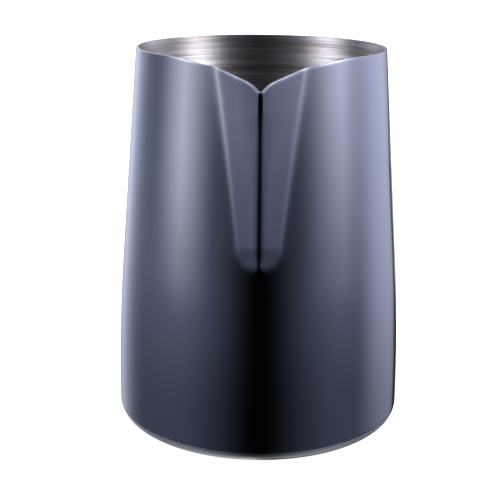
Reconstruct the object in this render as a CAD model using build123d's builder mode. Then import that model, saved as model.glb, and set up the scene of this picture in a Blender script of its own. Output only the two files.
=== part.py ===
"""Milk frothing pitcher: a tapered stainless steel jug with a pressed V spout and a strap handle.

The origin is on the jug's axis at the surface it stands on. +Z is up, the spout points to -Y and
the handle to +Y. All lengths are millimetres.

The wall is one drawn sheet, open at both ends. A base pan of the same gauge closes it, joined by a
butt weld round the foot. The handle is a bent strap whose two ends are cut to the wall and held by
fillet welds. Nothing on the jug moves.
"""

import os
from math import cos, radians, sin, sqrt, tan

from build123d import *

# Jug body
HEIGHT = 115.0
MOUTH_RADIUS = 37.2
FOOT_RADIUS = 44.1
TAPER = 4.55  # degrees, half angle of the upper cone
CORNER_RADIUS = 4.4
SHEET = 0.8
HEADROOM = 3.0  # the forms run this far above the rim, which is cut last

# Base pan and its weld
SEAM_LOW = 3.2
SEAM_HIGH = 3.6
BEAD = 0.15  # how far the weld stands into the jug
KICK_UP = 1.4  # the middle of the floor is raised by this
KICK_RADIUS = 33.0
KICK_RUN = 2.5  # width of the slope between the standing ring and the raised middle

# Spout: a V pressed outwards, from a toe half way up the wall to the rim
TOE_HEIGHT = 57.0
TOE_HALF_WIDTH = 5.9
RIM_HALF_WIDTH = 12.2
WIDTH_POWER = 1.25
TIP_HEIGHT = 108.1
TIP_REACH = 9.1  # past the round wall, at the tip
TOE_REACH = 5.2  # at the top of the toe
TOE_RISE = 9.0  # height over which the toe comes out of the wall
TOE_SUNK = 0.3  # how far behind the wall's surface the toe begins
SHOULDER = 0.45  # where each side of the V bends, as a share of the half width
SHOULDER_REACH = 0.47  # how far out it is there, as a share of the reach
NOSE_RADIUS = 1.1
FLUTE_RADIUS = 2.5
SIDE_INTO_WALL = 3.5  # how far the V's sides run on inside the round wall
LEAST_LEAN = 0.45  # slope of that hidden run
SECTION_HEIGHTS = (TOE_HEIGHT, TOE_HEIGHT + TOE_RISE, 78.0, 91.0, 104.0, HEIGHT + HEADROOM)

# Rim: level round the back and sides, then a bend, a straight slope and a steeper end at the tip
DIP_START = 26.0
DIP_RADIUS = 22.0
DIP_SLOPE = 19.3  # degrees
DIP_LENGTH = 10.8
TIP_BEND = 5.0
TIP_SLOPE = 46.0  # degrees

# Handle strap
STRAP = 2.5
STRAP_EDGE = 1.1
STRAP_TOP_WIDTH = 17.0
STRAP_LOW_WIDTH = 13.0
GRIP_TOP = (77.0, 101.6)  # (y, z) of the corners that the centre line rounds
GRIP_LOW = (72.5, 28.5)
ROOT_TOP = (35.0, 98.2)
ROOT_LOW = (41.0, 31.0)
BEND_TOP = 15.0
BEND_LOW = 17.0
WELD_LEG = 1.2


def belly_facts():
    """Radius of the belly's long arc, and the height at which it meets the cone."""
    rise = HEIGHT - CORNER_RADIUS
    slope = tan(radians(TAPER))
    turn = 1 - cos(radians(TAPER)) - slope * sin(radians(TAPER))
    radius = (FOOT_RADIUS - MOUTH_RADIUS - slope * rise) / turn
    return radius, CORNER_RADIUS + radius * sin(radians(TAPER))


BELLY_RADIUS, CONE_START = belly_facts()


def wall_radius(z):
    """Outside radius of the round wall at height z, above the base corner."""
    if z >= CONE_START:
        return MOUTH_RADIUS + (HEIGHT - z) * tan(radians(TAPER))
    drop = z - CORNER_RADIUS
    return FOOT_RADIUS - BELLY_RADIUS + sqrt(BELLY_RADIUS**2 - drop**2)


def spout_corners(z):
    """Right-hand corners of the spout's section at height z: nose, shoulder and the end inside."""
    radius = wall_radius(z)
    share = max(0.0, (z - TOE_HEIGHT) / (HEIGHT - TOE_HEIGHT))
    width = TOE_HALF_WIDTH + (RIM_HALF_WIDTH - TOE_HALF_WIDTH) * share**WIDTH_POWER
    above_toe = z - TOE_HEIGHT - TOE_RISE
    climb = (TIP_REACH - TOE_REACH) / (TIP_HEIGHT - TOE_HEIGHT - TOE_RISE)
    reach = TOE_REACH + climb * above_toe if above_toe >= 0 else -TOE_SUNK
    shoulder_x = SHOULDER * width
    shoulder_y = sqrt(radius**2 - shoulder_x**2) + SHOULDER_REACH * reach
    flute_y = sqrt(radius**2 - width**2)
    lean = max((shoulder_y - flute_y) / (width - shoulder_x), LEAST_LEAN)
    nose = (0.0, -(radius + reach))
    shoulder = (shoulder_x, -shoulder_y)
    inside = (width + SIDE_INTO_WALL, -(flute_y - lean * SIDE_INTO_WALL))
    return nose, shoulder, inside


def round_form(inset):
    """The round jug as a solid with its surface moved inwards by inset."""
    top = HEIGHT + HEADROOM
    foot = FOOT_RADIUS - inset
    corner = CORNER_RADIUS - inset
    with BuildPart() as form:
        with BuildSketch(Plane.XZ):
            with BuildLine():
                floor = Line((0, inset), (foot - corner, inset))
                bend = JernArc(floor @ 1, (1, 0), corner, 90)
                belly = JernArc(bend @ 1, (0, 1), BELLY_RADIUS - inset, TAPER)
                cone_top = (wall_radius(top) - inset / cos(radians(TAPER)), top)
                cone = Line(belly @ 1, cone_top)
                Polyline(cone @ 1, (0, top), (0, inset))
            make_face()
        revolve(axis=Axis.Z)
    return form.part


def spout_form(inset):
    """The V that stands out of the round jug, moved inwards by inset."""
    with BuildPart() as form:
        for z in SECTION_HEIGHTS:
            nose, shoulder, inside = spout_corners(z)
            back = (inside[0], inside[1] + 12.0)
            right = [shoulder, inside, back]
            left = [(-x, y) for x, y in reversed(right)]
            with BuildSketch(Plane.XY.offset(z)):
                with BuildLine():
                    Polyline(nose, *right, *left, close=True)
                make_face()
                if inset:
                    offset(amount=-inset, kind=Kind.INTERSECTION, mode=Mode.REPLACE)
        loft()
    return form.part


def long_edges(form, least_x, most_x):
    """The spout's long edges whose middles lie between two distances from the middle plane."""
    edges = form.edges().filter_by(lambda edge: edge.length > 40 and (edge @ 0.5).Y < -30)
    edges = edges.filter_by(lambda edge: TOE_HEIGHT < (edge @ 0.5).Z < HEIGHT - 5)
    return edges.filter_by(lambda edge: least_x <= abs((edge @ 0.5).X) < most_x)


def jug_form(inset):
    """The round jug and its spout as one solid, with the spout's nose and flutes rounded."""
    with BuildPart() as form:
        add(round_form(inset))
        add(spout_form(inset))
        fillet(long_edges(form, 0, 0.5), NOSE_RADIUS - 0.7 * inset)
        fillet(long_edges(form, 6, 15), FLUTE_RADIUS + inset)
    return form.part


def strap_form(growth):
    """The tapering strap, run on into the wall, with every side moved outwards by growth."""
    with BuildPart() as form:
        with BuildLine(Plane.YZ) as centre:
            corners = (ROOT_TOP, GRIP_TOP, GRIP_LOW, ROOT_LOW)
            FilletPolyline(*corners, radius=[BEND_TOP, BEND_LOW])
        path = centre.wire()
        for end, width in ((0, STRAP_TOP_WIDTH), (1, STRAP_LOW_WIDTH)):
            across = Plane(origin=path @ end, x_dir=(1, 0, 0), z_dir=path % end)
            with BuildSketch(across):
                RectangleRounded(width + 2 * growth, STRAP + 2 * growth, STRAP_EDGE + growth)
        sweep(path=path, multisection=True)
    return form.part


outside = jug_form(0)
inside = jug_form(SHEET)

# Wall: one sheet from the foot seam to the rim, cut down towards the spout's tip
with BuildPart() as wall_shell:
    add(outside)
    add(inside, mode=Mode.SUBTRACT)
    with BuildSketch(Plane.YZ):
        with BuildLine():
            back = Line((2 * FOOT_RADIUS, HEIGHT), (-DIP_START, HEIGHT))
            dip = JernArc(back @ 1, (-1, 0), DIP_RADIUS, DIP_SLOPE)
            slope = Line(dip @ 1, dip @ 1 + (dip % 1) * DIP_LENGTH)
            bend = JernArc(slope @ 1, slope % 1, TIP_BEND, TIP_SLOPE - DIP_SLOPE)
            tip = Line(bend @ 1, bend @ 1 + (bend % 1) * FOOT_RADIUS)
            above = 2 * HEIGHT
            Polyline(tip @ 1, ((tip @ 1).X, above), (2 * FOOT_RADIUS, above), back @ 0)
        make_face()
    extrude(amount=2 * FOOT_RADIUS, both=True, mode=Mode.SUBTRACT)
    split(bisect_by=Plane.XY.offset(SEAM_HIGH), keep=Keep.TOP)
wall_shell.part.label = "wall_shell"

# Base pan: the rounded corner, a flat standing ring and a raised middle
with BuildPart() as base_pan:
    with BuildSketch(Plane.XZ):
        with BuildLine():
            middle = Line((0, KICK_UP), (KICK_RADIUS, KICK_UP))
            step = Line(middle @ 1, (KICK_RADIUS + KICK_RUN, 0))
            ring = Line(step @ 1, (FOOT_RADIUS - CORNER_RADIUS, 0))
            bend = JernArc(ring @ 1, (1, 0), CORNER_RADIUS, 90)
            offset(amount=SHEET, side=Side.LEFT, closed=True)
        make_face()
    revolve(axis=Axis.Z)
    split(bisect_by=Plane.XY.offset(SEAM_LOW), keep=Keep.BOTTOM)
base_pan.part.label = "base_pan"

# Seam weld: the bead that joins the pan to the wall, ground flush outside
with BuildPart() as base_seam_weld:
    add(outside)
    with BuildSketch(Plane.XY.offset(SEAM_LOW)):
        Circle(FOOT_RADIUS)
        Circle(FOOT_RADIUS - SHEET - BEAD, mode=Mode.SUBTRACT)
    extrude(amount=SEAM_HIGH - SEAM_LOW, mode=Mode.INTERSECT)
base_seam_weld.part.label = "base_seam_weld"

# Handle: a strap, wide at the top and narrower below, both ends cut to fit the wall
with BuildPart() as handle_strap:
    add(strap_form(0))
    add(outside, mode=Mode.SUBTRACT)
handle_strap.part.label = "handle_strap"


def foot_weld(low, high):
    """Fillet weld round one strap end: the skin of the wall that lies close round the strap."""
    with BuildPart() as weld:
        add(strap_form(WELD_LEG))
        add(round_form(-WELD_LEG), mode=Mode.INTERSECT)
        add(outside, mode=Mode.SUBTRACT)
        add(handle_strap.part, mode=Mode.SUBTRACT)
        split(bisect_by=Plane.XY.offset(low), keep=Keep.TOP)
        split(bisect_by=Plane.XY.offset(high), keep=Keep.BOTTOM)
    return weld.part


with BuildPart() as handle_upper_weld:
    add(foot_weld(HEIGHT / 2, HEIGHT))
handle_upper_weld.part.label = "handle_upper_weld"

with BuildPart() as handle_lower_weld:
    add(foot_weld(0, HEIGHT / 2))
handle_lower_weld.part.label = "handle_lower_weld"

os.makedirs("parts", exist_ok=True)
for piece in (
    wall_shell, base_pan, base_seam_weld, handle_strap, handle_upper_weld, handle_lower_weld,
):
    export_step(piece.part, f"parts/{piece.part.label}.step")
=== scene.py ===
"""Milk frothing pitcher: its looks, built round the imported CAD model.

Shapes are worked out in millimetres, most of them from the CAD part's own dimensions, and turned
into metres when a mesh is made. The spout points to -Y and the handle to +Y.
"""

from math import acos, asin, cos, hypot, pi, radians, sin, sqrt, tan

import bmesh
import bpy
import numpy as np
from mathutils import Matrix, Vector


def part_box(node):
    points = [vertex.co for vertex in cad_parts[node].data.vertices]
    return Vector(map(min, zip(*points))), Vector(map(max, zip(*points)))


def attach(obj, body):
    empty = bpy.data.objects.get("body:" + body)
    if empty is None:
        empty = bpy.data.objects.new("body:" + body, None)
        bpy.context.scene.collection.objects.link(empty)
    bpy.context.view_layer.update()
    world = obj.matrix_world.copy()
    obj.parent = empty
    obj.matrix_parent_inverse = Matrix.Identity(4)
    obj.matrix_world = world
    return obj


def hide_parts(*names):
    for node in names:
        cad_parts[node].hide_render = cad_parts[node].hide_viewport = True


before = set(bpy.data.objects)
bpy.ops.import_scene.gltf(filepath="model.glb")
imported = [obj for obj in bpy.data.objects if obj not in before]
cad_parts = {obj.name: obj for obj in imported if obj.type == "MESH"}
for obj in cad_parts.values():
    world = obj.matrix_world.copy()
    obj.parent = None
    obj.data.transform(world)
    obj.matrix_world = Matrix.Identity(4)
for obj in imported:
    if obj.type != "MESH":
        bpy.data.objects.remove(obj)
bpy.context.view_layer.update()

MM = 0.001
SHARP = radians(40)  # edges that bend more than this keep a hard line

# Jug
wall_box = [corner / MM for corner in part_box("wall_shell")]
HEIGHT = wall_box[1].z
SEAM_HIGH = wall_box[0].z
SEAM_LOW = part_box("base_pan")[1].z / MM
FOOT_RADIUS = wall_box[1].x
MOUTH_RADIUS = 37.2
TAPER = radians(4.55)  # half angle of the upper cone
CORNER_RADIUS = 4.4
SHEET = 0.8
RIM_ROUND = 0.10

# Base pan and its weld
BEAD = 0.15  # how far the weld stands into the jug
BEAD_SPREAD = 1.8  # how far it runs up and down, in half heights of the seam
KICK_UP = 1.4  # the middle of the floor is raised by this
KICK_RADIUS = 33.0
KICK_RUN = 2.5  # width of the slope round the raised middle
KICK_STEPS = 12
KICK_RINGS = (0, 2, 8, 16, 25, 30)  # radii of the mesh's rings over the raised middle

# Spout: its width in front view
TOE_HEIGHT = 57.0
TIP_HEIGHT = 108.1
TOE_HALF_WIDTH = 5.9
RIM_HALF_WIDTH = 12.2
WIDTH_POWER = 1.25  # above 1, the flutes bend outwards on their way up
TOE_ROUND = 9.0  # height over which the toe's round end widens
TOE_LEAD = 2.8  # it begins this far below TOE_HEIGHT
TOE_NARROWEST = 0.02  # least share of that height, so that its width never comes to nothing

# Spout: how far it stands out of the wall
TOE_START = 55.5  # the toe comes out of the wall from here
TOE_END = 67.0  # to here
TOE_CURVE = 2.5  # it starts this much higher at the flutes than in the middle
TOE_HURRY = 1.6  # above 1, it comes out sooner than it levels off
TOE_TOP = 66.0  # from here up to the tip the slope of the sides changes
SIDE_SLOPES = (0.93, 0.68, 0.73)  # of each side in plan: at TOE_TOP, pull between, at the tip
PINCH = 0.2  # how much steeper the sides are at the tip inside the shoulders
PINCH_POWER = 1.6  # how late that comes in on the way up
SHOULDER = 0.45  # where the shoulders are, as a share of the half width
SHOULDER_SPREAD = 1.3  # width over which they are rounded
FLUTE_SPREAD = 0.8  # the same where the spout meets the round wall
SPOUT_SECTOR = pi / 3  # the spout keeps within this angle of its middle
NOSE_FLAT = (0.35, 0.68)  # half width of the crease's blunt front, at the toe and near the tip
NOSE_POINT = 0.45  # the same at the tip itself
NOSE_POINT_RUN = 2.5  # height over which it gets there
NOSE_BEND = (2.4, 0.12)  # how far the bend beside it spreads, at the toe and near the tip
NOSE_SHARP = 102.0  # the height from which it is as sharp as it gets
NOSE_POWER = 0.7

# Rim: level, then two arcs, each with a straight slope after it, down to the spout's tip
DIP_START = 26.0
DIP = ((22.0, radians(19.3), 10.2), (5.0, radians(46.0), 10.0))  # radius, slope, its run in y

# Handle strap and its welds
STRAP = 2.5
STRAP_EDGE = 1.05  # radius of its long edges
STRAP_CROWN = 0.12  # how far its two faces bulge
STRAP_TOP_WIDTH = 17.0
STRAP_LOW_WIDTH = 13.0
STRAP_CORNERS = ((35.0, 98.2), (77.0, 101.6), (72.5, 28.5), (41.0, 31.0))  # (y, z)
STRAP_BENDS = (15.0, 17.0)  # radii with which its centre line rounds the middle two
WELD_LEG = 1.2
WELD_RIPPLE = 0.07  # height of the ripples of its run, as a share of the leg
WELD_RIPPLES = 22
WELD_HOLLOW = 0.25  # where its hollow face is drawn towards, as a share of each leg
SUNK = 0.1  # how far hidden faces reach into the sheet behind them


# ---- Shape of the jug


def belly_facts():
    """Radius of the belly's long arc, and the height at which it meets the cone."""
    turn = 1 - cos(TAPER) - tan(TAPER) * sin(TAPER)
    radius = (FOOT_RADIUS - MOUTH_RADIUS - tan(TAPER) * (HEIGHT - CORNER_RADIUS)) / turn
    return radius, CORNER_RADIUS + radius * sin(TAPER)


BELLY_RADIUS, CONE_START = belly_facts()


def wall_radius(z):
    """Outside radius of the round wall at height z."""
    if z >= CONE_START:
        return MOUTH_RADIUS + (HEIGHT - z) * tan(TAPER)
    if z >= CORNER_RADIUS:
        return FOOT_RADIUS - BELLY_RADIUS + sqrt(BELLY_RADIUS**2 - (z - CORNER_RADIUS) ** 2)
    return FOOT_RADIUS - CORNER_RADIUS + sqrt(CORNER_RADIUS**2 - (CORNER_RADIUS - z) ** 2)


def ramp(low, high, value):
    """0 below low, 1 above high, and a smooth S between them."""
    t = min(max((value - low) / (high - low), 0.0), 1.0)
    return t * t * (3 - 2 * t)


def soft_max(a, b, width):
    """The larger of a and b, with the corner where they meet rounded over this width."""
    return (a + b + sqrt((a - b) ** 2 + width**2)) / 2


def flute_width(z):
    """Half width of the spout from flute to flute. Below the toe it stays as it is there."""
    share = max(0.0, (z - TOE_HEIGHT) / (HEIGHT - TOE_HEIGHT))
    return TOE_HALF_WIDTH + (RIM_HALF_WIDTH - TOE_HALF_WIDTH) * share**WIDTH_POWER


def nose_across(x, z):
    """Distance from the spout's middle as its sides see it: rounded off at the nose."""
    low = min(max((NOSE_SHARP - z) / (NOSE_SHARP - TOE_TOP), 0.0), 1.0) ** NOSE_POWER
    flat = NOSE_FLAT[1] + (NOSE_FLAT[0] - NOSE_FLAT[1]) * low
    flat += (NOSE_POINT - flat) * ramp(TIP_HEIGHT - NOSE_POINT_RUN, TIP_HEIGHT, z)
    bend = NOSE_BEND[1] + (NOSE_BEND[0] - NOSE_BEND[1]) * low
    return (hypot(x - flat, bend) + hypot(x + flat, bend)) / 2


def bulge(x, z):
    """How far the spout stands out in front of the round wall, at x from its middle."""
    if z <= TOE_START:
        return 0.0
    into_toe = min(max((z - TOE_HEIGHT + TOE_LEAD) / TOE_ROUND, TOE_NARROWEST), 1.0)
    width = flute_width(z) * sqrt(1 - (1 - into_toe) ** 2)
    up = (z - TOE_TOP) / (TIP_HEIGHT - TOE_TOP)
    across = nose_across(x, z)
    start = TOE_START + TOE_CURVE * min(across / flute_width(z), 1.0) ** 2
    above = min(max((z - start) / (TOE_END - start), 0.0), 1.0)
    rise = ramp(0, 1, 1 - (1 - above) ** TOE_HURRY)
    toe_slope, pull, tip_slope = SIDE_SLOPES
    slope = toe_slope * (1 - up) ** 2 + 2 * pull * up * (1 - up) + tip_slope * up**2
    side = slope * (width - across)
    shoulder = soft_max(SHOULDER * width - across, 0.0, SHOULDER_SPREAD)
    pinch = PINCH * max(up, 0.0) ** PINCH_POWER * shoulder
    return rise * soft_max(side + pinch, 0.0, FLUTE_SPREAD)


def rim_height(y):
    """Height of the cut rim at y."""
    run = -y - DIP_START
    height, before = HEIGHT, 0.0
    if run <= 0:
        return height
    for radius, slope, straight in DIP:
        bend = radius * (sin(slope) - sin(before))
        if run <= bend:
            along = run + radius * sin(before)
            return height - radius * cos(before) + sqrt(radius**2 - along**2)
        height -= radius * (cos(before) - cos(slope))
        run -= bend
        if run <= straight:
            break
        height -= straight * tan(slope)
        run -= straight
        before = slope
    return height - run * tan(slope)


# ---- Mesh helpers


def make_object(name, points, faces):
    """A smooth-shaded closed mesh, facing outwards, from points in millimetres."""
    mesh = bpy.data.meshes.new(name)
    mesh.from_pydata([tuple(c * MM for c in point) for point in points], [], faces)
    shell = bmesh.new()
    shell.from_mesh(mesh)
    if shell.calc_volume(signed=True) < 0:
        bmesh.ops.reverse_faces(shell, faces=shell.faces)
        shell.to_mesh(mesh)
    shell.free()
    mesh.polygons.foreach_set("use_smooth", [True] * len(mesh.polygons))
    mesh.set_sharp_from_angle(angle=SHARP)
    thing = bpy.data.objects.new(name, mesh)
    bpy.context.scene.collection.objects.link(thing)
    return thing


def ring_faces(rings, count, joined=False):
    """Quads between successive rings of count points, and from last to first if joined."""
    faces = []
    for i in range(rings if joined else rings - 1):
        here, there = i * count, (i + 1) % rings * count
        for k in range(count):
            m = (k + 1) % count
            faces.append((here + k, here + m, there + m, there + k))
    return faces


def cap(ring_start, count, centre, outward):
    """Triangles from one ring to a centre point."""
    spans = [(ring_start + k, ring_start + (k + 1) % count) for k in range(count)]
    return [(a, b, centre) if outward else (b, a, centre) for a, b in spans]


def lathe(name, outline, steps=240):
    """A turned body from a (radius, z) outline, either closed or with both ends on the axis."""
    on_axis = outline[0][0] == 0
    rings = outline[1:-1] if on_axis else outline
    turns = [2 * pi * k / steps for k in range(steps)]
    points = [(r * sin(a), -r * cos(a), z) for r, z in rings for a in turns]
    faces = ring_faces(len(rings), steps, joined=not on_axis)
    if on_axis:
        points += [(0, 0, outline[0][1]), (0, 0, outline[-1][1])]
        faces += cap(0, steps, len(points) - 2, False)
        faces += cap((len(rings) - 1) * steps, steps, len(points) - 1, True)
    return make_object(name, points, faces)


def unit(vectors):
    return vectors / np.linalg.norm(vectors, axis=-1, keepdims=True)


# ---- Wall


def stations(*stretches):
    """Values from (end, count) stretches, each one running on from the last in even steps."""
    values = [0.0]
    for end, count in stretches:
        start = values[-1]
        values += [start + (end - start) * (k + 1) / count for k in range(count)]
    return values


# Columns over half the spout, as shares of its width there: close together where it bends
SPOUT_COLUMNS = stations((0.09, 12), (0.18, 5), (0.46, 12), (0.62, 5), (0.86, 18), (1.0, 4))
SPOUT_EDGE = 1.35  # the last of them, in flute widths
ROUND_COLUMNS = 78
HALF = len(SPOUT_COLUMNS) + ROUND_COLUMNS - 1
RIM_PASSES = 40
# Rows: heights above the seam, then an even spread over the toe, then one up to the rim
LOW_ROWS = [0.0, 0.4, 0.8, 2.0] + [4.0 * k for k in range(1, 13)]
TOE_ROWS = 36
TOE_ROWS_TOP = 68.0
HIGH_ROWS = 46


def plan_point(column, z):
    """(x, y) of the wall's outside at height z. Columns count from the nose, + to the right."""
    side = -1 if column < 0 else 1
    step = abs(column)
    radius = wall_radius(z)
    edge = SPOUT_EDGE * flute_width(z)
    if step < len(SPOUT_COLUMNS):
        x = SPOUT_COLUMNS[step] * edge
        return side * x, -sqrt(radius**2 - x * x) - bulge(x, z)
    start = asin(edge / radius)
    angle = start + (pi - start) * (step - len(SPOUT_COLUMNS) + 1) / ROUND_COLUMNS
    stand = bulge(radius * sin(angle), z) if angle < SPOUT_SECTOR else 0.0
    return side * radius * sin(angle), -radius * cos(angle) - stand


def column_points(column):
    """Outside points of one column from the seam to just under the rim, and its rim point."""
    top = HEIGHT
    for _ in range(RIM_PASSES):  # settles where the column meets the sloping rim
        top = rim_height(plan_point(column, top)[1])
    heights = [SEAM_HIGH + rise for rise in LOW_ROWS]
    for end, count in ((TOE_ROWS_TOP, TOE_ROWS), (top - RIM_ROUND, HIGH_ROWS)):
        start = heights[-1]
        heights += [start + (end - start) * (k + 1) / count for k in range(count)]
    return [(*plan_point(column, z), z) for z in heights], (*plan_point(column, top), top)


def make_wall():
    """The drawn sheet as one closed mesh: outside, rounded rim, inside and edge at the seam."""
    columns = list(range(HALF + 1)) + [-k for k in range(HALF - 1, 0, -1)]
    made = [column_points(column) for column in columns]
    outer = np.array([points for points, _ in made]).transpose(1, 0, 2)
    edge = np.array([point for _, point in made])
    around = np.roll(outer, -1, axis=1) - np.roll(outer, 1, axis=1)
    normal = unit(np.cross(around, np.gradient(outer, axis=0)))
    inner = outer - normal * SHEET

    along = unit(np.roll(edge, -1, axis=0) - np.roll(edge, 1, axis=0))
    out = unit(normal[-1] - along * np.sum(normal[-1] * along, axis=1, keepdims=True))
    up = np.cross(out, along)
    rim = []
    for inset, first in ((RIM_ROUND, 0), (SHEET - RIM_ROUND, pi / 2)):
        centre = edge - out * inset - up * RIM_ROUND
        for angle in (first + pi / 8 * k for k in range(5)):
            rim.append(centre + RIM_ROUND * (out * cos(angle) + up * sin(angle)))

    rings = list(outer[:-1]) + rim + list(inner[:-1][::-1])
    count = len(columns)
    faces = ring_faces(len(rings), count, joined=True)
    wall = make_object("wall", np.concatenate(rings).tolist(), faces)
    # The coating reaches over the two outermost strips of the rounded edge
    outside, lip = len(outer) + 1, len(rim) - 3
    slots = [0] * outside + [1] * lip + [2] * (len(rings) - outside - lip)
    wall.data.polygons.foreach_set("material_index", np.repeat(slots, count).astype(np.int32))
    return wall


# ---- Base


def arc(centre, radius, start, end, steps=20):
    """(radius, z) points of an arc, with its angles in radians."""
    angles = [start + (end - start) * k / steps for k in range(steps + 1)]
    return [(centre[0] + radius * cos(a), centre[1] + radius * sin(a)) for a in angles]


def make_pan():
    """The pressed base: rounded corner, flat standing ring and raised middle."""
    centre = (FOOT_RADIUS - CORNER_RADIUS, CORNER_RADIUS)
    drop = SEAM_LOW - CORNER_RADIUS
    corner = arc(centre, CORNER_RADIUS, -pi / 2, asin(drop / CORNER_RADIUS))
    hollow = arc(centre, CORNER_RADIUS - SHEET, asin(drop / (CORNER_RADIUS - SHEET)), -pi / 2)
    slope_end = KICK_RADIUS + KICK_RUN
    slope = [KICK_RADIUS + KICK_RUN * k / KICK_STEPS for k in range(KICK_STEPS + 1)]
    floor = [(r, KICK_UP) for r in KICK_RINGS]
    floor += [(r, KICK_UP * (1 - ramp(KICK_RADIUS, slope_end, r))) for r in slope]
    floor.append((slope_end + 1, 0))
    inside = [(r, z + SHEET) for r, z in reversed(floor)]
    return lathe("base_pan_pressed", floor + corner + hollow + inside)


def make_seam():
    """The weld between pan and wall: flush outside, a low rounded bead inside."""
    middle, half = (SEAM_LOW + SEAM_HIGH) / 2, (SEAM_HIGH - SEAM_LOW) / 2
    outside = [(wall_radius(z), z) for z in (SEAM_LOW, middle, SEAM_HIGH)]
    face = FOOT_RADIUS - SHEET
    turns = [radians(a) for a in range(80, -81, -20)]
    tall = BEAD_SPREAD * half
    bead = [(face + SUNK - (BEAD + SUNK) * cos(a), middle + tall * sin(a)) for a in turns]
    return lathe("base_seam_bead", outside + bead)


# ---- Handle


def strap_path(step=0.8):
    """Points of the strap's centre line and its direction at each, as (y, z) pairs."""
    corners = [np.array(corner) for corner in STRAP_CORNERS]
    points, heads = [], []

    def straight(start, end, head):
        """Adds the points from start up to end, without end itself."""
        count = max(2, int(np.linalg.norm(end - start) / step))
        points.extend(start + (end - start) * k / count for k in range(count))
        heads.extend([head] * count)

    reached = corners[0]
    for before, corner, after, radius in zip(corners, corners[1:], corners[2:], STRAP_BENDS):
        arrive, leave = unit(corner - before), unit(after - corner)
        turn = acos(float(arrive @ leave))
        bend_start = corner - arrive * radius * tan(turn / 2)
        straight(reached, bend_start, arrive)
        toward = unit(leave - arrive * float(arrive @ leave))
        centre = bend_start + toward * radius
        steps = int(radius * turn / step) + 1
        for angle in (turn * k / steps for k in range(steps)):
            points.append(centre + radius * (arrive * sin(angle) - toward * cos(angle)))
            heads.append(arrive * cos(angle) + toward * sin(angle))
        reached = centre + radius * (arrive * sin(turn) - toward * cos(turn))
    straight(reached, corners[-1], leave)
    return np.array(points), np.array(heads)


def strap_section(half_width, flat_steps=26, edge_steps=8):
    """The strap's outline: (across, depth) of each point, then of its outward direction."""
    half = STRAP / 2
    flat = half_width - STRAP_EDGE
    outline = []
    for side in (1, -1):
        for k in range(1, flat_steps):
            across = side * flat * (1 - 2 * k / flat_steps)
            crown = STRAP_CROWN * (1 - (across / flat) ** 2)
            tilt = side * 2 * STRAP_CROWN * across / flat**2
            outline.append((across, side * (half + crown), tilt * side, side))
        for k in range(edge_steps * 2 + 1):
            angle = pi / 2 * side + pi / (2 * edge_steps) * k
            corner = half - STRAP_EDGE if k <= edge_steps else STRAP_EDGE - half
            across = STRAP_EDGE * cos(angle) - side * flat
            depth = corner * side + STRAP_EDGE * sin(angle)
            outline.append((across, depth, cos(angle), sin(angle)))
    return outline


def wall_hit(point, head, depth=0.0, passes=30):
    """Where the line from point along head is this deep inside the round wall's surface."""
    travel = 0.0
    for _ in range(passes):
        x, y, z = point + head * travel
        across = sqrt(x * x + y * y)
        travel -= (across - wall_radius(z) + depth) / ((x * head[0] + y * head[1]) / across)
    return point + head * travel


def make_strap():
    """The bent strap with both ends cut to the wall, and the outlines of those two ends."""
    path, heads = strap_path()
    travelled = np.cumsum(np.linalg.norm(np.diff(path, axis=0, prepend=path[:1]), axis=1))
    rings, outwards, ring_heads = [], [], []
    for (y, z), (dy, dz), length in zip(path, heads, travelled):
        if y < wall_radius(z) + STRAP:
            continue
        share = length / travelled[-1]
        section = strap_section((STRAP_TOP_WIDTH * (1 - share) + STRAP_LOW_WIDTH * share) / 2)
        rings.append(np.array([(x, y - dz * d, z + dy * d) for x, d, _, _ in section]))
        outwards.append(unit(np.array([(nx, -dz * nd, dy * nd) for _, _, nx, nd in section])))
        ring_heads.append(np.array([0, dy, dz]))
    ends = []
    for index, sign in ((0, 1), (-1, -1)):
        head = ring_heads[index] * sign
        foot = np.array([wall_hit(point, head) for point in rings[index]])
        ends.append((foot, outwards[index], head))
    first = ends[0][0] - ends[0][2] * SUNK
    last = ends[1][0] - ends[1][2] * SUNK
    rings = [first] + rings + [last]
    count = len(first)
    middles = [first.mean(axis=0).tolist(), last.mean(axis=0).tolist()]
    points = np.concatenate(rings).tolist() + middles
    faces = ring_faces(len(rings), count)
    faces += cap(0, count, len(points) - 2, False)
    faces += cap((len(rings) - 1) * count, count, len(points) - 1, True)
    return make_object("handle_bent_strap", points, faces), ends


def make_weld(name, foot, outward, head):
    """A hollow fillet of weld metal round one strap end, with the ripples of its run."""
    count = len(foot)
    ripple = 1 + WELD_RIPPLE * np.sin(np.arange(count) * 2 * pi * WELD_RIPPLES / count)
    leg = WELD_LEG * ripple[:, None]
    low = np.array([wall_hit(p, head, SUNK / 2) for p in foot + outward * leg])
    high = foot + head * leg
    hollow = foot + WELD_HOLLOW * (low - foot) + WELD_HOLLOW * (high - foot)
    curve = [low]
    for t in (k / 8 for k in range(1, 8)):
        curve.append((1 - t) ** 2 * low + 2 * t * (1 - t) * hollow + t * t * high)
    curve += [high, high - outward * SUNK, foot - outward * SUNK - head * SUNK, low - head * SUNK]
    faces = ring_faces(len(curve), count, joined=True)
    return make_object(name, np.concatenate(curve).tolist(), faces)


# ---- Materials

# The two colours between which each surface varies
COATING = ((0.253, 0.264, 0.354, 1), (0.271, 0.279, 0.370, 1))
BRUSHED = ((0.275, 0.236, 0.235, 1), (0.71, 0.68, 0.69, 1))
TURNED = ((0.62, 0.58, 0.59, 1), (0.72, 0.68, 0.69, 1))
POLISHED = ((0.21, 0.20, 0.195, 1), (0.31, 0.295, 0.29, 1))
COATED_WELD = ((0.22, 0.23, 0.32, 1), (0.27, 0.28, 0.38, 1))


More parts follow.
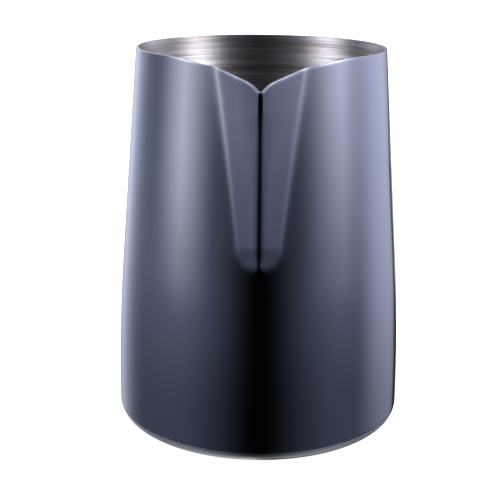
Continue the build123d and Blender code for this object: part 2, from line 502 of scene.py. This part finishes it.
class Nodes:
    """Builds one material's or world's node tree with short calls."""

    def __init__(self, tree):
        self.nodes, self.links = tree.nodes, tree.links
        self.nodes.clear()

    def add(self, kind, *inputs, **settings):
        """A node with attributes from settings and inputs in order: sockets, values or None."""
        node = self.nodes.new(kind)
        for key, value in settings.items():
            setattr(node, key, value)
        for socket, value in zip(node.inputs, inputs):
            self.feed(socket, value)
        return node

    def feed(self, socket, value):
        if isinstance(value, bpy.types.NodeSocket):
            self.links.new(value, socket)
        elif value is not None:
            socket.default_value = value

    def math(self, operation, *inputs):
        return self.add("ShaderNodeMath", *inputs, operation=operation).outputs[0]

    def remap(self, value, low, high, to_low, to_high, kind="LINEAR"):
        inputs = (value, low, high, to_low, to_high)
        return self.add("ShaderNodeMapRange", *inputs, interpolation_type=kind).outputs[0]

    def mix(self, share, first, second):
        """A colour between two colours."""
        node = self.nodes.new("ShaderNodeMix")
        node.data_type = "RGBA"
        for name, value in (("Factor_Float", share), ("A_Color", first), ("B_Color", second)):
            self.feed(next(s for s in node.inputs if s.identifier == name), value)
        return next(s for s in node.outputs if s.identifier == "Result_Color")

    def noise(self, vector, scale, detail=2.0, roughness=0.5):
        node = self.add("ShaderNodeTexNoise")
        self.feed(node.inputs["Vector"], vector)
        for key, value in (("Scale", scale), ("Detail", detail), ("Roughness", roughness)):
            node.inputs[key].default_value = value
        return node.outputs["Fac"]

    def place(self, scale=(1, 1, 1)):
        """The point being shaded in metres, stretched by scale."""
        where = self.add("ShaderNodeTexCoord").outputs["Object"]
        node = self.add("ShaderNodeMapping", where)
        node.inputs["Scale"].default_value = scale
        return node.outputs[0]

    def round_the_axis(self):
        """The direction that runs round the jug, for the brushed and turned steel."""
        return self.add("ShaderNodeTangent", direction_type="RADIAL", axis="Z").outputs[0]

    def bump(self, height, distance, strength):
        """A normal tilted by a height that spans this distance in metres."""
        node = self.add("ShaderNodeBump")
        node.inputs["Strength"].default_value = strength
        node.inputs["Distance"].default_value = distance
        self.feed(node.inputs["Height"], height)
        return node.outputs[0]


def metal(name, build, **settings):
    """A metal whose build(nodes) returns sockets by input name; settings are constants."""
    material = bpy.data.materials.new(name)
    material.use_nodes = True
    nodes = Nodes(material.node_tree)
    shader = nodes.add("ShaderNodeBsdfPrincipled")
    shader.inputs["Metallic"].default_value = 1.0
    for key, value in settings.items():
        shader.inputs[key.replace("_", " ")].default_value = value
    for key, value in build(nodes).items():
        nodes.feed(shader.inputs[key], value)
    nodes.add("ShaderNodeOutputMaterial", shader.outputs[0])
    return material


def coating(nodes):
    """Smooth dark blue coating: faint polishing lines round the jug, cloudiness and micro pits."""
    cloud = nodes.noise(nodes.place(), 45.0, 3.0)
    lines = nodes.noise(nodes.place((60, 60, 2500)), 1.0, 3.0)
    pits = nodes.noise(nodes.place(), 2600.0, 1.0)
    tone = nodes.remap(cloud, 0.3, 0.7, 0.0, 1.0)
    rough = nodes.remap(nodes.math("ADD", cloud, lines), 0.6, 1.4, 0.10, 0.15)
    skin = nodes.math("MULTIPLY_ADD", lines, 0.35, nodes.math("MULTIPLY", pits, 0.5))
    return {
        "Base Color": nodes.mix(tone, *COATING),
        "Roughness": rough,
        "Normal": nodes.bump(skin, 2e-6, 0.6),
    }


def brushed_inside(nodes):
    """Bare steel with strokes running round the jug, longer and shorter ones, and soft clouds."""
    strokes = nodes.noise(nodes.place((30, 30, 1500)), 1.0, 4.0, 0.65)
    broad = nodes.noise(nodes.place((20, 20, 420)), 1.0, 2.0)
    cloud = nodes.noise(nodes.place(), 55.0, 2.0)
    fine, coarse = nodes.math("MULTIPLY", strokes, 0.6), nodes.math("MULTIPLY", broad, 0.4)
    tone = nodes.remap(nodes.math("ADD", fine, coarse), 0.38, 0.62, 0.0, 1.0)
    tangent = nodes.round_the_axis()
    return {
        "Base Color": nodes.mix(tone, *BRUSHED),
        "Roughness": nodes.remap(nodes.math("ADD", strokes, cloud), 0.6, 1.4, 0.40, 0.55),
        "Tangent": tangent,
        "Normal": nodes.bump(tone, 4e-5, 0.8),
    }


def bare_turned(nodes):
    """Bare steel of the base, finished on a lathe: fine rings and a little staining."""
    x, y, z = nodes.add("ShaderNodeSeparateXYZ", nodes.place()).outputs
    squares = [nodes.math("POWER", side, 2.0) for side in (x, y)]
    radius = nodes.math("SQRT", nodes.math("ADD", *squares))
    across = nodes.math("ADD", radius, z)
    rings = nodes.noise(nodes.add("ShaderNodeCombineXYZ", across).outputs[0], 2600.0, 3.0, 0.6)
    stain = nodes.noise(nodes.place(), 60.0, 3.0)
    tangent = nodes.round_the_axis()
    return {
        "Base Color": nodes.mix(nodes.remap(stain, 0.3, 0.7, 0.0, 1.0), *TURNED),
        "Roughness": nodes.remap(rings, 0.3, 0.7, 0.22, 0.34),
        "Tangent": tangent,
        "Normal": nodes.bump(rings, 1e-5, 0.5),
    }


def bare_lip(nodes):
    """The rim's cut edge, polished by deburring, with small nicks."""
    nicks = nodes.noise(nodes.place(), 900.0, 2.0)
    return {
        "Base Color": nodes.mix(nodes.remap(nicks, 0.35, 0.65, 0.0, 1.0), *POLISHED),
        "Roughness": nodes.remap(nicks, 0.3, 0.7, 0.16, 0.3),
        "Normal": nodes.bump(nicks, 2e-5, 0.4),
    }


def weld_metal(nodes):
    """The coating over weld metal: rougher, with a fine grain."""
    grain = nodes.noise(nodes.place(), 1500.0, 3.0)
    return {
        "Base Color": nodes.mix(grain, *COATED_WELD),
        "Roughness": nodes.remap(grain, 0.3, 0.7, 0.2, 0.34),
        "Normal": nodes.bump(grain, 3e-5, 0.6),
    }


# ---- Build, dress and attach the pieces

coated = metal("coated_outside", coating)
inside = metal("brushed_inside", brushed_inside, Anisotropic=1.0, Anisotropic_Rotation=0.25)
turned = metal("turned_base", bare_turned, Anisotropic=0.6, Anisotropic_Rotation=0.25)
lip = metal("polished_lip", bare_lip)
weld = metal("coated_weld", weld_metal)

wall = make_wall()
pan = make_pan()
seam = make_seam()
strap, (upper_end, lower_end) = make_strap()
upper_weld = make_weld("handle_upper_fillet", *upper_end)
lower_weld = make_weld("handle_lower_fillet", *lower_end)

for piece, node, slot, materials in (
    (wall, "wall_shell", "coated_steel", (coated, lip, inside)),
    (pan, "base_pan", "bare_steel", (turned,)),
    (seam, "base_seam_weld", "bare_steel", (turned,)),
    (strap, "handle_strap", "coated_steel", (coated,)),
    (upper_weld, "handle_upper_weld", "coated_steel", (weld,)),
    (lower_weld, "handle_lower_weld", "coated_steel", (weld,)),
):
    for material in materials:
        piece.data.materials.append(material)
    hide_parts(node)
    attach(piece, "root")


# ---- Studio

# All angles are in degrees. Azimuths are from the spout's direction, + to the right.
WARM = (1.02, 1.0, 0.89)
PLAIN = (0.98, 1.0, 0.95)
COOL = (0.97, 1.0, 1.10)
BLUE = (0.87, 1.0, 1.19)
DARK = (0.0, 0.0, 0.0, 1)
WHITE = (1, 1, 1, 1)
# Soft panels round the jug, each of which fades in from the first elevation to the second
PANELS = (
    # tint, azimuth, half width, soft edge, fades from, to, radiance
    (WARM, -70.5, 11.5, 44, -13.5, -3, 1.5),
    (PLAIN, 74.5, 14.5, 55, -14, 4, 1.85),
    (COOL, 125.5, 24, 36, -41, 18, 1.4),
    (COOL, -149, 10.5, 42, -58, 4, 1.2),
    (COOL, -127, 11, 19, -49, -3, 0.14),
    (PLAIN, 180, 80, 70, -40, -80, 0.45),
    (COOL, -75, 10, 36, 4, 22, 11.0),
    (COOL, 71, 10, 38, 4, 22, 17.0),
)
# The next ones each give two angles and the strength of light at either, with a smooth fade
# between. First the room's light, which grows from the front to each side.
ROOM_LEFT = (-70.0, -1.0, 0.35, 0.0)
ROOM_RIGHT = (4.0, 73.0, 0.002, 0.32)
ROOM_LOW = (-23.0, -9.0, 0.47, 1.0)  # by elevation: weaker low down
ROOM_HIGH = (2.0, 20.0, 1.0, 2.2)  # and stronger high up
# A dark flag at the right rear, which cuts room and panels down to a tenth
FLAG = (147, 153, 1.0, 0.1)
# A pale backdrop behind the jug
BACKDROP_LEFT = (-165, -172, 0.0, 0.8)
BACKDROP_RIGHT = (155, 165, 0.0, 0.8)
BACKDROP_LOW = (-13.0, -5.0, 0.5, 1.0)  # by elevation: weaker low down at the left
BACKDROP_HIGH = (6.0, 18.0, 1.0, 0.15)  # and at both sides high up
CEILING = (34, 62, 0.0, 1.0)  # strength of the dark that covers everything overhead
# The flag's edge and the backdrop's right edge bow backwards
BOW = 2.3  # this far for each degree of elevation
BOW_UP = (-10.0, 20.0)  # between these elevations
BOW_DOWN = (-16.0, -40.0)  # and the backdrop's between these too
FLOOR_GLOW = 0.92
FLOOR_PAPER = (0.5, 0.5, 0.5, 1)


def studio_world():
    """Light from all round: soft panels over a dim, slightly blue room. Lenses see it white."""
    world = bpy.data.worlds.new("studio")
    world.use_nodes = True
    nodes = Nodes(world.node_tree)
    heading = nodes.add("ShaderNodeTexCoord").outputs["Generated"]
    x, y, z = nodes.add("ShaderNodeSeparateXYZ", heading).outputs
    turn = nodes.math("ARCTAN2", x, nodes.math("MULTIPLY", y, -1.0))
    azimuth = nodes.math("DEGREES", turn)
    elevation = nodes.math("DEGREES", nodes.math("ARCSINE", z))

    def fade(value, low, high, to_low, to_high):
        """to_low where value is at low, to_high where it is at high, and smooth between."""
        return nodes.remap(value, low, high, to_low, to_high, "SMOOTHSTEP")

    def tinted(tint, amount, under=None):
        """A tinted light of this strength, added to what is there already."""
        light = nodes.add("ShaderNodeVectorMath", tint, operation="SCALE")
        nodes.feed(light.inputs["Scale"], amount)
        both = nodes.add("ShaderNodeVectorMath", light.outputs[0], under, operation="ADD")
        return both.outputs[0]

    def bow(edge, start, end):
        """edge, an azimuth, as it bows backwards between two elevations."""
        back = nodes.remap(elevation, start, end, 0.0, BOW * abs(end - start))
        return nodes.math("SUBTRACT", edge, back)

    bowed = bow(azimuth, *BOW_UP)
    flag = fade(bowed, *FLAG)
    sides = nodes.math("ADD", fade(azimuth, *ROOM_LEFT), fade(azimuth, *ROOM_RIGHT))
    level = nodes.math("MULTIPLY", fade(elevation, *ROOM_LOW), fade(elevation, *ROOM_HIGH))
    room = nodes.math("MULTIPLY", sides, level)
    colour = tinted(BLUE, nodes.math("MULTIPLY", room, flag))
    for tint, centre, half, soft, low, high, radiance in PANELS:
        away = nodes.math("SUBTRACT", azimuth, float(centre))
        away = nodes.math("ABSOLUTE", nodes.math("WRAP", away, 180.0, -180.0))
        across = fade(away, half - soft / 2, half + soft / 2, radiance, 0.0)
        shape = nodes.math("MULTIPLY", across, fade(elevation, low, high, 0.0, 1.0))
        colour = tinted(tint, nodes.math("MULTIPLY", shape, flag), colour)

    behind_left = fade(azimuth, *BACKDROP_LEFT)
    behind_right = fade(bow(bowed, *BOW_DOWN), *BACKDROP_RIGHT)
    behind = nodes.math("MULTIPLY_ADD", behind_left, fade(elevation, *BACKDROP_LOW), behind_right)
    behind = nodes.math("MULTIPLY", behind, fade(elevation, *BACKDROP_HIGH))
    colour = tinted(PLAIN, behind, colour)
    colour = nodes.mix(fade(elevation, *CEILING), colour, DARK)
    seen = nodes.add("ShaderNodeLightPath").outputs["Is Camera Ray"]
    background = nodes.add("ShaderNodeBackground", nodes.mix(seen, colour, WHITE), 1.0)
    nodes.add("ShaderNodeOutputWorld", background.outputs[0])
    bpy.context.scene.world = world


def make_floor(size=6.0):
    """A plain white floor that glows a little, as one lit from below does."""
    mesh = bpy.data.meshes.new("floor")
    half = size / 2
    corners = [(-half, -half, 0), (half, -half, 0), (half, half, 0), (-half, half, 0)]
    mesh.from_pydata(corners, [], [(0, 1, 2, 3)])
    floor = bpy.data.objects.new("floor", mesh)
    bpy.context.scene.collection.objects.link(floor)
    material = bpy.data.materials.new("floor_white")
    material.use_nodes = True
    nodes = Nodes(material.node_tree)
    glow = nodes.add("ShaderNodeEmission", WHITE, FLOOR_GLOW)
    paper = nodes.add("ShaderNodeBsdfDiffuse", FLOOR_PAPER)
    both = nodes.add("ShaderNodeAddShader", glow.outputs[0], paper.outputs[0])
    nodes.add("ShaderNodeOutputMaterial", both.outputs[0])
    mesh.materials.append(material)
    floor.visible_glossy = False


# ---- Camera

CAMERA_PLACE = (-2.916, -340.0, 150.13)  # before the turn about the jug's axis
CAMERA_TURN = radians(0.65)
CAMERA_PITCH = radians(-16.12)
CAMERA_ROLL = radians(0.474)
CAMERA_LENS = 81.4


def make_camera():
    """The camera, in front of the spout and a little above the rim."""
    camera = bpy.data.objects.new("camera", bpy.data.cameras.new("camera"))
    camera.data.lens = CAMERA_LENS
    camera.data.sensor_width = 36.0
    camera.data.clip_start = 0.01
    place = Matrix.Translation([c * MM for c in CAMERA_PLACE])
    turn = Matrix.Rotation(CAMERA_TURN, 4, "Z")
    tilt = Matrix.Rotation(pi / 2 + CAMERA_PITCH, 4, "X")
    roll = Matrix.Rotation(CAMERA_ROLL, 4, "Z")
    camera.matrix_world = turn @ place @ tilt @ roll
    bpy.context.scene.collection.objects.link(camera)
    bpy.context.scene.camera = camera


studio_world()
make_floor()
make_camera()
bpy.context.scene.view_settings.view_transform = "Standard"
